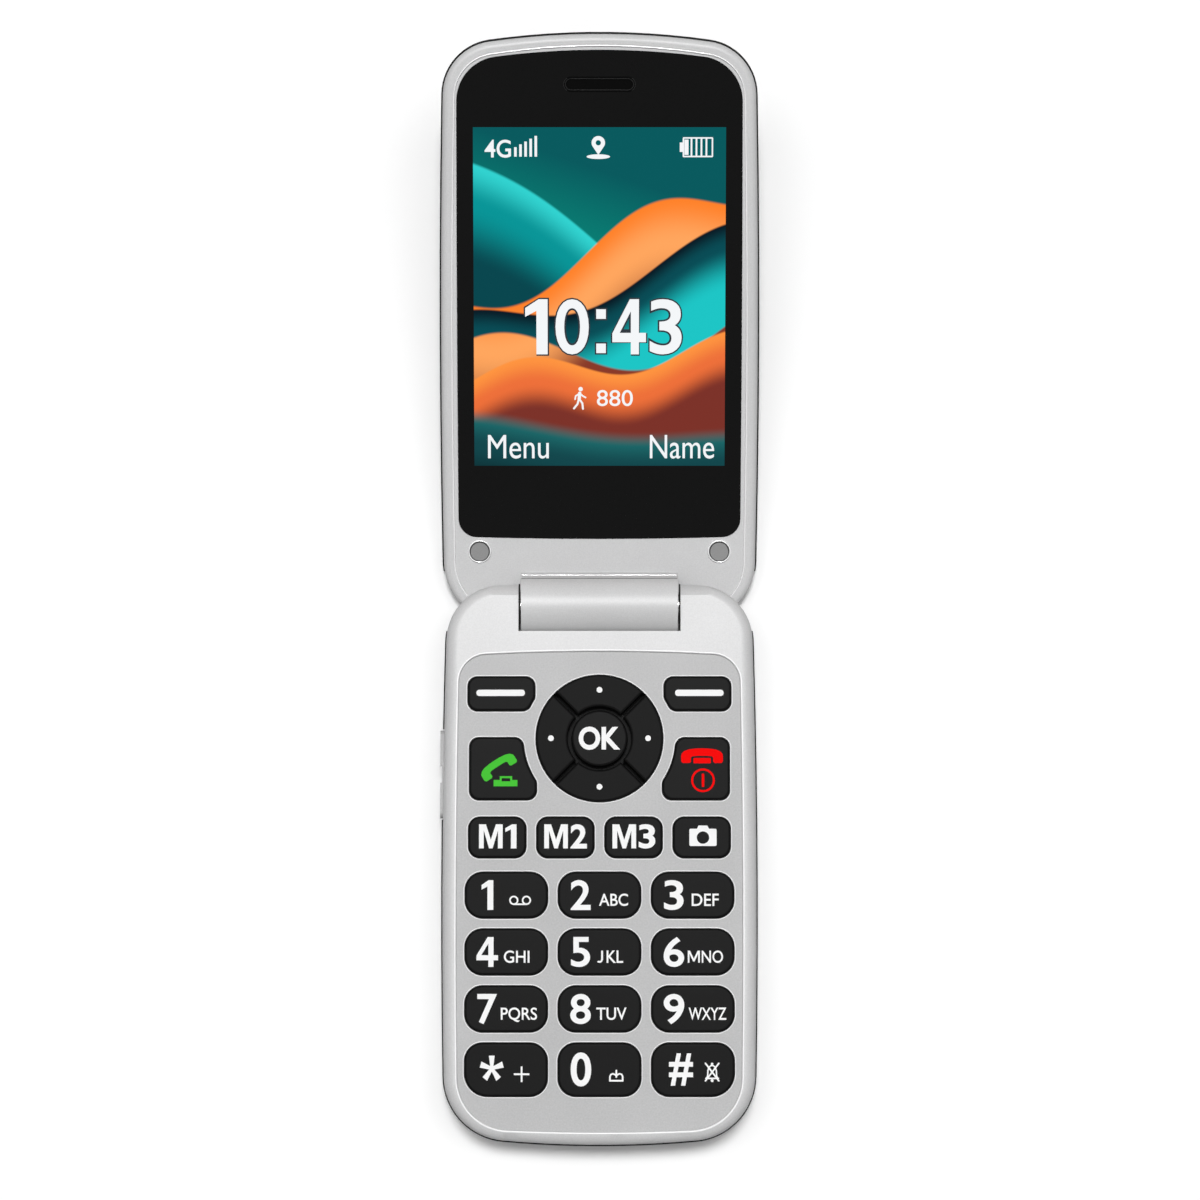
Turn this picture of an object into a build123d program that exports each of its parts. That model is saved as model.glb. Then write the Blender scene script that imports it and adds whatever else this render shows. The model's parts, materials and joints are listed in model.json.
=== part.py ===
from build123d import *
import os

# A folding phone, lying open on its back. Millimetres.
# Base pieces are drawn with y measured from the hinge axis, -Y toward the bottom end, z from the flat back.
# Lid pieces are drawn in the lid frame: hinge axis at the origin, +Y toward the tip, the face looking up.

# ---- base body ----
base_end = 92.2  # hinge axis to the bottom end
ear_reach = 3.8  # hinge axis to the ends of the ears, in plan
base_height = 11.0
base_half_width = 26.85
base_narrowing_low = 0.55  # narrower at the bottom corners
base_narrowing_high = 0.75  # narrower at the hinge
base_bow_low = 1.9  # how far the bottom end bows out
base_bow_high = 0.9
base_corner_low = 11.0
base_corner_high = 9.6
base_edge_top = 2.0
base_edge_back = 1.8
wall = 1.5
parting_height = 5.5  # where the two housings meet
cavity_start = 8.0  # hinge axis to the hollow of the base
floor_top = 2.45  # inside of the rear housing's floor

# ---- hinge ----
hinge_drop = 3.6  # axis below the base's face
open_angle = 165.0
barrel_radius = 5.6
barrel_half_length = 13.45
barrel_side_gap = 0.35
barrel_gap = 0.3
ear_radius = 3.9
bay_start = 4.2  # hinge axis to the end wall of the rear housing
shaft_radius = 1.5
sleeve_radius = 2.4
sleeve_bore_radius = 1.6
pin_depth = 4.2  # into the ears
barrel_end_wall = 2.95
barrel_bore_radius = 3.6
running_gap = 0.05
cartridge_gap = 1.75  # beside the flex
flex_width = 4.0
flex_thickness = 0.3
flex_roll_radius = 2.3
flex_depth = 5.9  # flex tail under the axis
flex_gap = 0.25

# ---- keypad ----
plate_top = 8.0
plate_rim_end = 2.0  # shoulder below the plate
plate_rim_side = 2.25
plate_corner_top = 5.0
plate_corner_bottom = 9.0
plate_bow = 0.8
plate_thickness = 0.8
plate_gap = 0.05
web_thickness = 0.7  # housing under the keypad plate
web_depth = 1.2  # plate seat below the face
key_proud = 0.25  # key tops above the face
key_travel = 0.4
key_gap = 0.15
key_edge = 0.45
flange_reach = 0.35
flange_thickness = 0.45
flange_gap = 0.05
nub_radius = 1.2
nub_length = 0.17
nub_gap = 0.03  # nub above the key mat with the key down

number_side_margin = 1.62  # plate edge to the number keys
number_gap = 1.68  # between number keys
number_row_gap = 1.7
number_top = 45.95
number_end_margin = 6.12  # plate edge to the last row
last_row_extra = 1.2  # the last row is taller
number_corner = 3.1
last_row_corner = 4.0  # outer lower corners of star and hash
function_row = 40.1
function_side_margin = 2.175
function_gap = 1.71
function_height = 7.1
function_corner = 2.0
nav_centre = 23.15
nav_radius = 10.93
nav_groove = 0.6  # between the four arms
ok_radius = 4.83
ok_ring_gap = 0.62
ok_flange_reach = 1.0
nav_moat = 2.07  # between the navigation disc and the keys around it
soft_inner = 11.0
soft_side_margin = 2.0
soft_row = 15.5
soft_height = 6.0
call_inner = 10.7
call_side_margin = 2.3
call_top = 22.95
call_bottom = 33.75
side_key_corner = 1.8

# ---- base inside ----
mat_thickness = 0.3
dome_sheet_thickness = 0.1
dome_height = 0.1
dome_radius = 2.0
board_thickness = 0.6
board_margin = 2.0  # board inside the housing wall
board_end_gap = 0.4
boss_radius = 1.5
boss_gap = 0.3
screw_radius = 0.65
screw_head_radius = 1.3
screw_head_height = 0.6
screw_hole_gap = 0.1
screw_tip_gap = 0.5
upper_screw_inset = 6.35  # from the widest part of the base
upper_screw_row = 9.9
lower_screw_inset = 9.85
lower_screw_end = 5.6  # from the bottom end
battery_width = 34.0
battery_start = 32.0
battery_end_room = 10.5  # bottom end to the battery
battery_gap = 0.3
bay_wall = 1.0
bay_ceiling = 0.5
contacts_width = 8.0
contacts_length = 2.5
contacts_gap = 0.1
contacts_rise = 0.6  # over the battery's lower face
blade_width = 1.0
blade_height = 1.4
shield_width = 31.0
shield_inset = 6.0  # inside the battery's ends
shield_room = 0.95  # over the battery bay
shield_wall = 0.2
sim_width = 16.0
sim_length = 12.5
sim_centre_x = 0.5
inner_row = 21.5  # loudspeaker, SIM socket and vibration motor
sim_socket_height = 2.4
sim_card_thickness = 0.76
sim_frame = 0.6
window_gap = 0.5
speaker_width = 11.0
speaker_length = 12.5
speaker_height = 3.2
speaker_centre_x = -14.3
slot_count = 5
slot_width = 0.9
slot_length = 8.0
slot_pitch = 2.0
motor_radius = 4.0
motor_height = 2.7
motor_centre_x = 15.0
usb_width = 7.5
usb_height = 2.8
usb_length = 5.6
usb_wall = 0.3
usb_tongue = 0.7
usb_recess = 0.3
usb_gap = 0.1
mic_radius = 2.0
mic_height = 1.5
mic_x = -10.0
mic_end = 4.9
mic_hole_radius = 0.4
antenna_width = 9.5
antenna_length = 4.5
antenna_height = 1.5
antenna_end = 5.3
antenna_gap = 0.75  # beside the screw boss

# ---- battery cover ----
cover_start = 14.0
cover_side_margin = 5.35
cover_thickness = 1.2
cover_gap = 0.1
cover_lift_gap = 0.05  # cover under the housing's floor
rail_reach = 0.6
rail_height = 0.4
rail_z = 0.5
rail_start = 20.0
rail_end_margin = 14.5

# ---- volume rocker ----
rocker_row = 29.0
rocker_length = 15.1
rocker_height = 2.6
rocker_proud = 0.55
rocker_stem = 2.8
rocker_land = 3.0  # flat middle between the two pads
rocker_dip = 0.3
rocker_gap = 0.2
rocker_end_gap = 0.25
rocker_flange_reach = 0.5
rocker_flange_thickness = 0.5

# ---- lid body ----
lid_tip_overhang = 5.5  # past the shut base, as a thumb lip
lid_heel = 4.0  # behind the axis
lid_drop = 4.1  # face to the hinge axis, so 0.5 over the base when shut
lid_thickness = 8.0
lid_side_overhang = 0.4  # past the base
lid_narrowing_heel = 0.45
lid_narrowing_tip = 0.7
lid_bow_tip = 2.6
lid_bow_heel = 0.3
lid_corner_tip = 9.2
lid_corner_heel = 10.8
lid_edge_face = 1.1
lid_edge_back = 2.5
step_inset = 1.9  # raised rim round the lid's face
step_depth = 0.25
frame_depth = 3.5  # front frame, face to the rear cover
rear_cover_start = 5.0
neck_reach = 5.2
neck_rise = 0.35
lid_cavity_start = 12.0
lid_back_wall = 1.2

# ---- lid inside ----
window_bottom = 11.1
window_rim_tip = 2.65
window_rim_side = 2.8
window_corner_bottom = 3.2
window_corner_top = 7.6
window_bow = 0.1
window_bow_top = 2.2
window_bow_bottom = 0.4
window_sink = 0.2
window_seat = 1.0
lid_web_depth = 1.8
panel_side_margin = 2.0  # window edge to the display panel
panel_bottom_margin = 11.0
panel_top_margin = 12.0
panel_thickness = 1.7
panel_gap = 0.15
backlight_border = 0.9
backlight_thickness = 0.75
ear_slot_margin = 5.8  # window's top to the slot
ear_slot_length = 11.6
ear_slot_height = 1.9
ear_ring_width = 0.3
ear_slot_gap = 0.05
ear_opening_margin = 0.8
ear_mesh_thickness = 0.3
ear_mesh_sink = 0.25
receiver_width = 15.0
receiver_length = 6.5
receiver_height = 2.4
bumper_inset = 6.5  # from the widest part of the lid
bumper_row = 8.9
bumper_radius = 1.57
bumper_proud = 0.4
bumper_depth = 0.8
tip_screw_inset = 4.2  # inside the window's edge
tip_screw_margin = 4.4
lid_screw_length = 3.4
lid_boss_radius = 1.7
lid_board_depth = 3.9
lid_board_inset = 1.4  # inside the display panel
lid_board_bottom = 13.0
lid_board_top_inset = 2.4
lid_board_thickness = 0.8
camera_margin = 27.0  # lid's tip to the camera
camera_width = 7.0
camera_height = 2.9
lens_radius = 3.8
lens_thickness = 1.3
lens_proud = 0.2
lens_gap = 0.05
flash_x = 9.5
flash_radius = 1.5
flash_base = 3.2
flash_base_height = 0.9
magnet_size = 5.0
magnet_thickness = 1.5
magnet_inset = 6.5  # inside the board's edge
magnet_margin = 23.0  # lid's tip to the magnet

# ---- widths and lengths worked out from these ----
base_widths = (base_half_width - base_narrowing_low, base_half_width, base_half_width - base_narrowing_high)
lid_half_width = base_half_width + lid_side_overhang
lid_widths = (lid_half_width - lid_narrowing_heel, lid_half_width, lid_half_width - lid_narrowing_tip)
lid_tip = base_end + lid_tip_overhang
plate_bottom = base_end - plate_rim_end
plate_half_width = base_half_width - plate_rim_side
number_width = (2 * (plate_half_width - number_side_margin) - 2 * number_gap) / 3
number_pitch = number_width + number_gap
number_block = plate_bottom - number_end_margin - number_top
number_height = (number_block - 3 * number_row_gap - last_row_extra) / 4
number_row_pitch = number_height + number_row_gap
last_row = number_top + 3 * number_row_pitch + (number_height + last_row_extra) / 2
function_width = (2 * (plate_half_width - function_side_margin) - 3 * function_gap) / 4
function_pitch = function_width + function_gap
upper_screw_x = base_half_width - upper_screw_inset
lower_screw_x = base_half_width - lower_screw_inset
lower_screw_row = base_end - lower_screw_end
battery_length = base_end - battery_end_room - battery_start
antenna_x = lower_screw_x - boss_radius - antenna_gap - antenna_width / 2
antenna_row = base_end - antenna_end
mic_row = base_end - mic_end
cover_half_width = base_half_width - cover_side_margin
window_top = lid_tip - window_rim_tip
window_half_width = lid_half_width - window_rim_side
panel_half_width = window_half_width - panel_side_margin
panel_bottom = window_bottom + panel_bottom_margin
panel_top = window_top - panel_top_margin
ear_slot_row = window_top - ear_slot_margin
tip_screw_x = window_half_width - tip_screw_inset
tip_screw_row = window_top - tip_screw_margin
bumper_x = lid_half_width - bumper_inset
lid_board_half_width = panel_half_width - lid_board_inset
lid_board_top = panel_top - lid_board_top_inset
camera_row = lid_tip - camera_margin
magnet_x = lid_board_half_width - magnet_inset
magnet_row = lid_tip - magnet_margin
barrel_room = barrel_half_length - barrel_end_wall
flex_start = barrel_room - flex_gap - flex_width
hinge_y = (base_end - ear_reach) / 2

# ---- heights worked out from these ----
hinge_z = base_height - hinge_drop
web_top = base_height - web_depth
web_bottom = web_top - web_thickness
key_top = base_height + key_proud
flange_top = web_bottom - flange_gap
flange_bottom = flange_top - flange_thickness
nub_bottom = flange_bottom - nub_length
mat_top = nub_bottom - key_travel - nub_gap
mat_bottom = mat_top - mat_thickness
dome_sheet_top = mat_bottom - dome_height
board_top = dome_sheet_top - dome_sheet_thickness
board_bottom = board_top - board_thickness
seat_height = cover_thickness + cover_lift_gap  # floor over the battery cover
battery_bottom = seat_height + battery_gap
bay_ceiling_top = board_bottom - shield_room
bay_ceiling_bottom = bay_ceiling_top - bay_ceiling
battery_thickness = bay_ceiling_bottom - battery_bottom - battery_gap / 3
lid_face = -lid_drop
lid_back = lid_face - lid_thickness
notch_half_width = barrel_half_length + barrel_side_gap
far = 200.0  # reach of a cut that goes right through


# ---- helpers ----
def block(x0, x1, y0, y1, z0, z1):
    """A box between two corners."""
    return Pos((x0 + x1) / 2, (y0 + y1) / 2, (z0 + z1) / 2) * Box(x1 - x0, y1 - y0, z1 - z0)


def disc(x, y, z0, z1, radius):
    """An upright cylinder."""
    return Pos(x, y, (z0 + z1) / 2) * Cylinder(radius, z1 - z0)


def axle(x0, x1, radius, y=0.0, z=0.0):
    """A cylinder along X."""
    return Pos((x0 + x1) / 2, y, z) * Rot(Y=90) * Cylinder(radius, x1 - x0)


def slab(outline, z0, z1):
    """A flat outline raised from z0 to z1."""
    return Pos(0, 0, z0) * extrude(outline, z1 - z0)


def plan(half_widths, y_low, y_high, bow_low, bow_high, corner_low, corner_high, inset=0.0):
    """A closed outline with bowed sides and ends and rounded corners, drawn inset from its true edge."""
    low, mid, high = (width - inset for width in half_widths)
    y0, y1 = y_low + inset, y_high - inset
    y0_side, y1_side = y0 + bow_low, y1 - bow_high
    middle = (y0 + y1) / 2
    edges = [
        ThreePointArc((-low, y0_side), (0, y0), (low, y0_side)),
        ThreePointArc((low, y0_side), (mid, middle), (high, y1_side)),
        ThreePointArc((high, y1_side), (0, y1), (-high, y1_side)),
        ThreePointArc((-high, y1_side), (-mid, middle), (-low, y0_side)),
    ]
    outline = make_face(edges)
    outline = fillet(outline.vertices().group_by(Axis.Y)[0], corner_low - inset)
    return fillet(outline.vertices().group_by(Axis.Y)[-1], corner_high - inset)


def base_plan(inset=0.0):
    return plan(base_widths, -base_end, ear_reach, base_bow_low, base_bow_high,
                base_corner_low, base_corner_high, inset)


def plate_plan(inset=0.0):
    widths = (plate_half_width - plate_bow / 2, plate_half_width, plate_half_width - plate_bow / 2)
    return plan(widths, -plate_bottom, -plate_top, plate_bow, plate_bow,
                plate_corner_bottom, plate_corner_top, inset)


def lid_plan(inset=0.0):
    return plan(lid_widths, -lid_heel, lid_tip, lid_bow_heel, lid_bow_tip,
                lid_corner_heel, lid_corner_tip, inset)


def window_plan(inset=0.0):
    widths = (window_half_width - window_bow, window_half_width, window_half_width - window_bow)
    return plan(widths, window_bottom, window_top, window_bow_bottom, window_bow_top,
                window_corner_bottom, window_corner_top, inset)


# ---- keys ----
def plain_key(x, row, width, height, corner, grow):
    """A rectangular key with rounded corners."""
    size = (width + 2 * grow, height + 2 * grow)
    return Pos(x, -row) * RectangleRounded(*size, corner + grow)


def last_row_key(side, grow):
    """Star or hash, whose outer lower corner is rounder."""
    width, height = number_width + 2 * grow, number_height + last_row_extra + 2 * grow
    outline = Rectangle(width, height)
    outer_low = outline.vertices().sort_by(lambda v: v.Y - side * v.X)[0]
    outline = fillet(outer_low, last_row_corner + grow)
    corners = [v for v in outline.vertices()
               if abs(abs(v.X) - width / 2) + abs(abs(v.Y) - height / 2) < 0.01]
    return Pos(side * number_pitch, -last_row) * fillet(corners, number_corner + grow)


def side_key(side, inner, outer, top, bottom, grow):
    """A key beside the navigation disc, hollowed along it."""
    outline = Pos(side * (inner + outer) / 2, -(top + bottom) / 2) * Rectangle(
        outer - inner + 2 * grow, bottom - top + 2 * grow)
    outline -= Pos(0, -nav_centre) * Circle(nav_radius + nav_moat - grow)
    return fillet(outline.vertices(), side_key_corner)


def nav_arm(turn, grow):
    """One of the four arms of the navigation disc, turned from the right-hand one."""
    ring = Circle(nav_radius + grow) - Circle(ok_radius + ok_ring_gap)
    for slant in (45, -45):
        ring -= Rot(Z=slant) * Rectangle(3 * nav_radius, nav_groove)
    arm = ring.faces().sort_by(Axis.X)[-1]
    return Pos(0, -nav_centre) * Rot(Z=turn) * arm


def ok_key(grow):
    return Pos(0, -nav_centre) * Circle(ok_radius + grow)


def soft_key(side, grow):
    outer = plate_half_width - soft_side_margin
    return side_key(side, soft_inner, outer, soft_row - soft_height / 2, soft_row + soft_height / 2, grow)


def call_key(side, grow):
    return side_key(side, call_inner, plate_half_width - call_side_margin, call_top, call_bottom, grow)


def key_outlines(grow):
    """Every key's outline by node name, drawn larger by grow."""
    outlines = {}
    names = ("1", "2", "3", "4", "5", "6", "7", "8", "9")
    for index, name in enumerate(names):
        row, column = divmod(index, 3)
        centre = number_top + number_height / 2 + row * number_row_pitch
        outlines["key_" + name] = plain_key((column - 1) * number_pitch, centre, number_width,
                                            number_height, number_corner, grow)
    outlines["key_star"] = last_row_key(-1, grow)
    outlines["key_0"] = plain_key(0, last_row, number_width, number_height + last_row_extra,
                                  number_corner, grow)
    outlines["key_hash"] = last_row_key(1, grow)
    for index, name in enumerate(("m1", "m2", "m3", "camera")):
        outlines["key_" + name] = plain_key((index - 1.5) * function_pitch, function_row, function_width,
                                            function_height, function_corner, grow)
    outlines["key_soft_left"] = soft_key(-1, grow)
    outlines["key_soft_right"] = soft_key(1, grow)
    outlines["key_call"] = call_key(-1, grow)
    outlines["key_end"] = call_key(1, grow)
    for name, turn in (("right", 0), ("up", 90), ("left", 180), ("down", 270)):
        outlines["nav_" + name] = nav_arm(turn, grow)
    outlines["nav_ok"] = ok_key(grow)
    return outlines


def key_openings(z0, z1):
    """What is cut from a plate for the keys, with one round opening for the navigation disc."""
    openings = disc(0, -nav_centre, z0, z1, nav_radius + key_gap)
    for name, outline in key_outlines(key_gap).items():
        if not name.startswith("nav_"):
            openings += slab(outline, z0, z1)
    return openings


def key_centre(outline):
    centre = outline.faces()[0].center(CenterOf.MASS)
    return centre.X, centre.Y


def build_keys():
    keys = {}
    flanges = key_outlines(flange_reach)
    for name, outline in key_outlines(0.0).items():
        cap = slab(outline, flange_bottom, key_top)
        cap = fillet(cap.edges().group_by(Axis.Z)[-1], key_edge)
        flange = slab(flanges[name], flange_bottom, flange_top)
        if name == "nav_ok":
            flange = slab(ok_key(ok_flange_reach), flange_bottom, flange_top)
        elif name.startswith("nav_"):
            clear = ok_radius + ok_flange_reach + ok_ring_gap / 2
            cap -= disc(0, -nav_centre, flange_bottom - 1, flange_top + key_travel + flange_gap, clear)
            flange -= disc(0, -nav_centre, flange_bottom - 1, flange_top + 1, clear)
        x, y = key_centre(outline)
        nub = disc(x, y, nub_bottom, flange_bottom, nub_radius)
        keys[name] = cap + flange + nub
    return keys


# ---- screws ----
def screw(x, y, z_head, z_tip):
    """A screw with its head at z_head, pointing to z_tip."""
    turn = 1 if z_tip > z_head else -1
    z_shank = z_head + turn * screw_head_height
    head = disc(x, y, min(z_head, z_shank), max(z_head, z_shank), screw_head_radius)
    return head + disc(x, y, min(z_shank, z_tip), max(z_shank, z_tip), screw_radius)


base_screw_places = [(side * x, -row) for x, row in
                     ((upper_screw_x, upper_screw_row), (lower_screw_x, lower_screw_row)) for side in (-1, 1)]


# ---- base housings ----
def base_shell():
    """The whole outside of the base, with its ears and the notch for the barrel."""
    shell = slab(base_plan(), 0, base_height)
    shell = fillet(shell.edges().group_by(Axis.Z)[-1], base_edge_top)
    shell = fillet(shell.edges().group_by(Axis.Z)[0], base_edge_back)
    outside_ears = block(-far, far, -bay_start, far, -far, hinge_z) + block(-far, far, 0, far, -far, far)
    outside_ears -= axle(-far, far, ear_radius, 0, hinge_z)
    outside_ears -= block(-far, far, -bay_start - 1, 0, hinge_z - ear_radius, hinge_z + 1)
    notch = block(-notch_half_width, notch_half_width, 0, far, -far, far)
    notch += block(-notch_half_width, notch_half_width, -bay_start, far, -far, hinge_z)
    notch += axle(-notch_half_width, notch_half_width, barrel_radius + barrel_gap, 0, hinge_z)
    return shell - outside_ears - notch


def rear_zone():
    return block(-far, far, -far, -bay_start, -far, parting_height)


def base_cavity():
    hollow = slab(base_plan(wall), floor_top, web_bottom)
    return hollow & block(-far, far, -far, -cavity_start, -far, far)


def usb_opening():
    half = usb_width / 2 + usb_gap
    return block(-half, half, -base_end - 1, -base_end + 2 * wall,
                 board_bottom - usb_height - usb_gap, board_bottom)


def mic_hole():
    depth = 2 * wall
    return Pos(mic_x, -base_end + depth / 2, board_bottom - mic_height / 2) * Rot(X=90) * Cylinder(
        mic_hole_radius, 2 * depth)


def rocker_opening():
    half_length = rocker_length / 2 + rocker_end_gap
    half_height = rocker_height / 2 + rocker_gap
    inner = -base_half_width + 2 * wall
    return block(-far, inner, -rocker_row - half_length, -rocker_row + half_length,
                 parting_height - half_height, parting_height + half_height)


def pin_bores():
    bores = axle(-notch_half_width - pin_depth, -notch_half_width, shaft_radius, 0, hinge_z)
    return bores + axle(notch_half_width, notch_half_width + pin_depth, sleeve_radius, 0, hinge_z)


def base_front_housing():
    housing = base_shell() - rear_zone() - base_cavity()
    for x, y in base_screw_places:
        housing += disc(x, y, parting_height, web_bottom + web_thickness / 2, boss_radius)
        housing -= disc(x, y, parting_height - 1, web_bottom, screw_radius + running_gap)
    housing -= slab(plate_plan(-plate_gap), web_top, base_height + 1)
    housing -= key_openings(web_bottom - 1, web_top + 1)
    return housing - usb_opening() - mic_hole() - rocker_opening() - pin_bores()


def cover_recess():
    half = cover_half_width + cover_gap
    recess = block(-half, half, -far, -cover_start + cover_gap, -far, seat_height)
    half += rail_reach
    rails = block(-half, half, -far, -rail_start + cover_gap,
                  rail_z - cover_gap, rail_z + rail_height + cover_gap)
    return recess + rails


def battery_bay(margin, z0, z1):
    """The battery's room, with the contacts at its upper end, grown by a margin."""
    half = battery_width / 2 + margin
    start = battery_start - contacts_length - contacts_gap - margin
    return block(-half, half, -battery_start - battery_length - margin, -start, z0, z1)


def sound_slots(z0, z1):
    slots = [Pos(speaker_centre_x + (index - (slot_count - 1) / 2) * slot_pitch, -inner_row, (z0 + z1) / 2)
             * Box(slot_width, slot_length, z1 - z0) for index in range(slot_count)]
    return Compound(slots)


def sim_window(margin, z0, z1):
    half_width, half_length = sim_width / 2 + margin, sim_length / 2 + margin
    return block(sim_centre_x - half_width, sim_centre_x + half_width,
                 -inner_row - half_length, -inner_row + half_length, z0, z1)


def contacts_block(margin, z0, z1):
    half = contacts_width / 2 + margin
    return block(-half, half, -battery_start, -battery_start + contacts_length, z0, z1)


def base_rear_housing():
    housing = (base_shell() & rear_zone()) - base_cavity()
    housing += battery_bay(battery_gap + bay_wall, floor_top, board_bottom)
    shield_room = battery_bay(battery_gap, bay_ceiling_top, board_bottom + 1)
    housing -= battery_bay(battery_gap, -1, bay_ceiling_bottom) + shield_room
    housing -= contacts_block(contacts_gap, 0, board_bottom + 1)
    for x, y in base_screw_places:
        housing += disc(x, y, floor_top - wall, parting_height, boss_radius)
        housing -= disc(x, y, -1, parting_height + 1, screw_radius + screw_hole_gap)
        housing -= disc(x, y, -1, seat_height + screw_head_height, screw_head_radius + screw_hole_gap)
    housing -= cover_recess()
    housing -= sim_window(window_gap, -1, floor_top + 1)
    housing -= sound_slots(-1, floor_top + 1)
    return housing - usb_opening() - rocker_opening()


def battery_cover():
    half = cover_half_width
    cover = base_shell() & block(-half, half, -far, -cover_start, -1, cover_thickness)
    half, rail_end = cover_half_width + rail_reach, base_end - rail_end_margin
    cover += block(-half, half, -rail_end, -rail_start, rail_z, rail_z + rail_height)
    return cover - sound_slots(-1, cover_thickness + 1)


# ---- base inside ----
def board_shield():
    """A can over the parts on the underside of the board."""
    half, bottom = shield_width / 2, bay_ceiling_top + running_gap
    y0, y1 = -battery_start - battery_length + shield_inset, -battery_start - shield_inset
    can = block(-half, half, y0, y1, bottom, board_bottom)
    return can - block(-half + shield_wall, half - shield_wall, y0 + shield_wall, y1 - shield_wall,
                       bottom + shield_wall, board_bottom)


def sheet(z0, z1):
    """A sheet that fills the hollow of the base and passes round the screw bosses."""
    piece = slab(base_plan(wall + board_margin), z0, z1)
    piece &= block(-far, far, -far, -cavity_start - board_end_gap, -far, far)
    for x, y in base_screw_places:
        piece -= disc(x, y, z0 - 1, z1 + 1, boss_radius + boss_gap)
    return piece


def dome_sheet():
    piece = sheet(board_top, dome_sheet_top)
    for outline in key_outlines(0.0).values():
        x, y = key_centre(outline)
        piece += disc(x, y, dome_sheet_top, mat_bottom, dome_radius)
    return piece


def keypad_plate():
    plate = slab(plate_plan(), web_top, web_top + plate_thickness)
    plate = chamfer(plate.edges().group_by(Axis.Z)[-1], plate_thickness / 4)
    return plate - key_openings(web_top - 1, web_top + plate_thickness + 1)


def battery_contacts():
    middle = battery_bottom + battery_thickness / 2
    piece = contacts_block(0, battery_bottom + contacts_rise, board_bottom)
    for index in (-1, 0, 1):
        x = index * contacts_width / 3
        half = blade_width / 2
        piece += block(x - half, x + half, -battery_start - contacts_gap, -battery_start,
                       middle - blade_height / 2, middle + blade_height / 2)
    return piece


def battery():
    half = battery_width / 2
    cell = block(-half, half, -battery_start - battery_length, -battery_start - contacts_gap,
                 battery_bottom, battery_bottom + battery_thickness)
    return fillet(cell.edges().filter_by(Axis.Y), battery_thickness / 4)


def sim_socket():
    """The socket's frame with the card in it."""
    top, bottom = board_bottom, board_bottom - sim_socket_height
    card_room = sim_window(-sim_frame, bottom - 1, bottom + sim_card_thickness)
    socket = sim_window(0, bottom, top) - card_room
    card = sim_window(-sim_frame - running_gap, bottom, bottom + sim_card_thickness)
    return Compound([socket.solid(), card])


def usb_port():
    half = usb_width / 2
    y0 = -base_end + usb_recess
    top, bottom = board_bottom, board_bottom - usb_height
    shell = block(-half, half, y0, y0 + usb_length, bottom, top)
    shell -= block(-half + usb_wall, half - usb_wall, y0 - 1, y0 + usb_length - usb_wall,
                   bottom + usb_wall, top - usb_wall)
    middle = (top + bottom) / 2
    return shell + block(-half / 2, half / 2, y0 + usb_wall, y0 + usb_length - usb_wall / 2,
                         middle - usb_tongue / 2, middle + usb_tongue / 2)


def hinge_pins():
    """The shaft of the spring cartridge in the left ear, and the sleeve for the flex in the right one."""
    pin_end = notch_half_width + pin_depth
    shaft = axle(-pin_end, -barrel_room, shaft_radius, 0, hinge_z)
    sleeve = axle(barrel_room, pin_end, sleeve_radius, 0, hinge_z)
    sleeve -= axle(0, far, sleeve_bore_radius, 0, hinge_z)
    return Compound([shaft, sleeve.solid()])


def volume_rocker():
    """Two pads with a lower middle, held behind the wall by a flange."""
    outer = -base_half_width - rocker_proud
    inner = outer + rocker_proud + rocker_stem
    half, half_height = rocker_length / 2, rocker_height / 2
    z0, z1 = parting_height - half_height, parting_height + half_height
    stem = block(outer, inner, -rocker_row - half, -rocker_row + half, z0, z1)
    stem = fillet(stem.edges().filter_by(Axis.X), rocker_height / 3)
    land = rocker_land / 2
    stem -= block(outer - 1, outer + rocker_dip, -rocker_row - land, -rocker_row + land,
                  z0 - 1, z1 + 1)
    reach = rocker_flange_reach
    return stem + block(inner - rocker_flange_thickness, inner, -rocker_row - half - reach,
                        -rocker_row + half + reach, z0 - reach, z1 + reach)


# ---- lid ----
def under_surface(margin):
    """The space under the surface that the open phone lies on, in the lid frame, raised by a margin."""
    return Rot(X=open_angle - 180) * block(-far, far, -far, far, -far, margin - hinge_z)


def lid_shell():
    """The whole outside of the lid, with its heel cut back so that it lies flat on the surface."""
    shell = slab(lid_plan(), lid_back, lid_face)
    shell = fillet(shell.edges().group_by(Axis.Z)[-1], lid_edge_face)
    shell = fillet(shell.edges().group_by(Axis.Z)[0], lid_edge_back)
    return shell - under_surface(0.0)


def lid_rear_zone():
    return block(-far, far, rear_cover_start, far, -far, lid_face - frame_depth)


def lid_cavity():
    hollow = slab(lid_plan(wall), lid_back + lid_back_wall, lid_face - lid_web_depth)
    hollow &= block(-far, far, lid_cavity_start, far, -far, far)
    return hollow - under_surface(lid_back_wall)


def flex_path(margin):
    """The flex between its roll in the barrel and the lid's board, grown by a margin."""
    half = flex_thickness / 2 + margin
    y = flex_roll_radius - flex_thickness / 2
    x0, x1 = flex_start - margin, flex_start + flex_width + margin
    drop = block(x0, x1, y - half, y + half, -flex_depth - half, 0)
    return drop + block(x0, x1, y - half, lid_board_bottom + margin, -flex_depth - half, -flex_depth + half)


def lid_screw_seats():
    """Place, head height and tip of each lid screw."""
    plug_seat = lid_face - bumper_depth - running_gap
    web_seat = lid_face - window_seat - running_gap
    places = []
    for side in (-1, 1):
        places.append((side * bumper_x, bumper_row, plug_seat))
        places.append((side * tip_screw_x, tip_screw_row, web_seat))
    return places


def panel_block(margin, z0, z1):
    half = panel_half_width + margin
    return block(-half, half, panel_bottom - margin, panel_top + margin, z0, z1)


def ear_slot(grow, z0, z1):
    outline = Pos(0, ear_slot_row) * SlotOverall(ear_slot_length + 2 * grow, ear_slot_height + 2 * grow)
    return slab(outline, z0, z1)


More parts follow.
